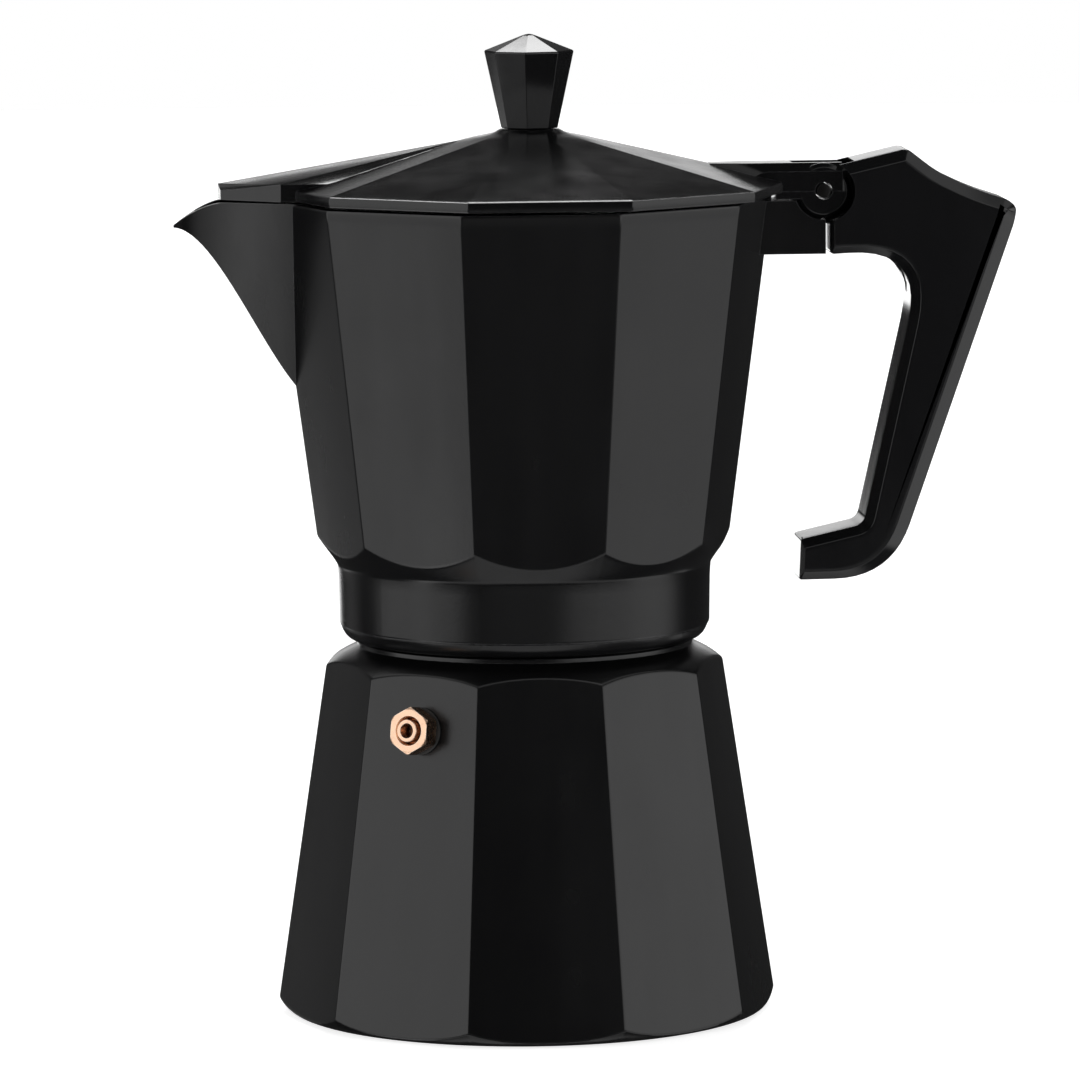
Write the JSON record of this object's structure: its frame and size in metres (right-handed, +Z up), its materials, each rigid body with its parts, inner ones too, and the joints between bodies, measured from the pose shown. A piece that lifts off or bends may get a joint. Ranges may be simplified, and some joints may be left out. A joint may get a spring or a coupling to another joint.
{
  "type": "stovetop moka pot",
  "caption": "Faceted stovetop coffee maker: flared boiler with safety valve, filter funnel, screw-on collector with V spout, hinged lid with knob and an angular side handle.",
  "frame": {"origin": "centre of the boiler's flat base, on the surface the pot stands on", "axes": "+Z up along the pot's axis, +X towards the handle, -X towards the spout"},
  "size_m": [0.176, 0.103, 0.2054],
  "materials": {
    "boiler": "satin black coating over cast aluminium",
    "collector": "satin black coating over cast aluminium",
    "lid": "satin black coating over cast aluminium",
    "handle": "glossy black phenolic",
    "knob": "glossy black phenolic",
    "valve_body": "copper-coloured plating",
    "valve_plunger": "copper-coloured plating",
    "valve_retainer": "copper-coloured plating",
    "valve_spring": "bare spring wire",
    "valve_washer": "black",
    "funnel": "bare, spun",
    "funnel_screen": "bare, punched",
    "filter_plate": "bare, punched",
    "gasket": "off-white silicone",
    "riser_column": "bare, cast",
    "knob_screw": "plain",
    "knob_washer": "plain",
    "hinge_pin": "blackened",
    "handle_screw": "plain"
  },
  "bodies": {
    "boiler": {"boiler": "boiler", "valve_body": "valve_body", "valve_washer": "valve_washer", "valve_retainer": "valve_retainer", "valve_spring": "valve_spring"},
    "valve_plunger": {"valve_plunger": "valve_plunger"},
    "funnel": {"funnel": "funnel", "funnel_screen": "funnel_screen"},
    "gasket": {"gasket": "gasket"},
    "filter_plate": {"filter_plate": "filter_plate"},
    "collector": {"collector": "collector", "riser_column": "riser_column", "handle": "handle", "handle_screw": "handle_screw", "hinge_pin": "hinge_pin"},
    "lid": {"lid": "lid", "knob": "knob", "knob_screw": "knob_screw", "knob_washer": "knob_washer"}
  },
  "joints": [
    {"name": "collector_lift_off", "type": "slide", "parent": "boiler", "child": "gasket", "axis": [0, 0, 1], "range_m": [0, 0.15]},
    {"name": "thread_rise", "type": "slide", "parent": "gasket", "child": "filter_plate", "axis": [0, 0, 1], "range_m": [0, 0.0036]},
    {"name": "collector_unscrew", "type": "hinge", "parent": "filter_plate", "child": "collector", "pos_m": [0, 0, 0.0929], "axis": [0, 0, 1], "range_deg": [0, 630]},
    {"name": "lid_hinge", "type": "hinge", "parent": "collector", "child": "lid", "pos_m": [0.0629, 0, 0.1722], "axis": [0, 1, 0], "range_deg": [0, 90]},
    {"name": "funnel_lift", "type": "slide", "parent": "boiler", "child": "funnel", "axis": [0, 0, 1], "range_m": [0, 0.0825]},
    {"name": "valve_lift", "type": "slide", "parent": "boiler", "child": "valve_plunger", "axis": [-0.5818, -0.8008, 0.1426], "range_m": [0, 0.0005], "stiffness_N_per_m": 1200, "springref_m": -0.002}
  ],
  "couplings": [
    {"joint": "thread_rise", "follows": "collector_unscrew", "m_per_rad": 0.00031831},
    {"joint": "funnel_lift", "follows": "collector_lift_off", "ratio": 0.55}
  ]
}
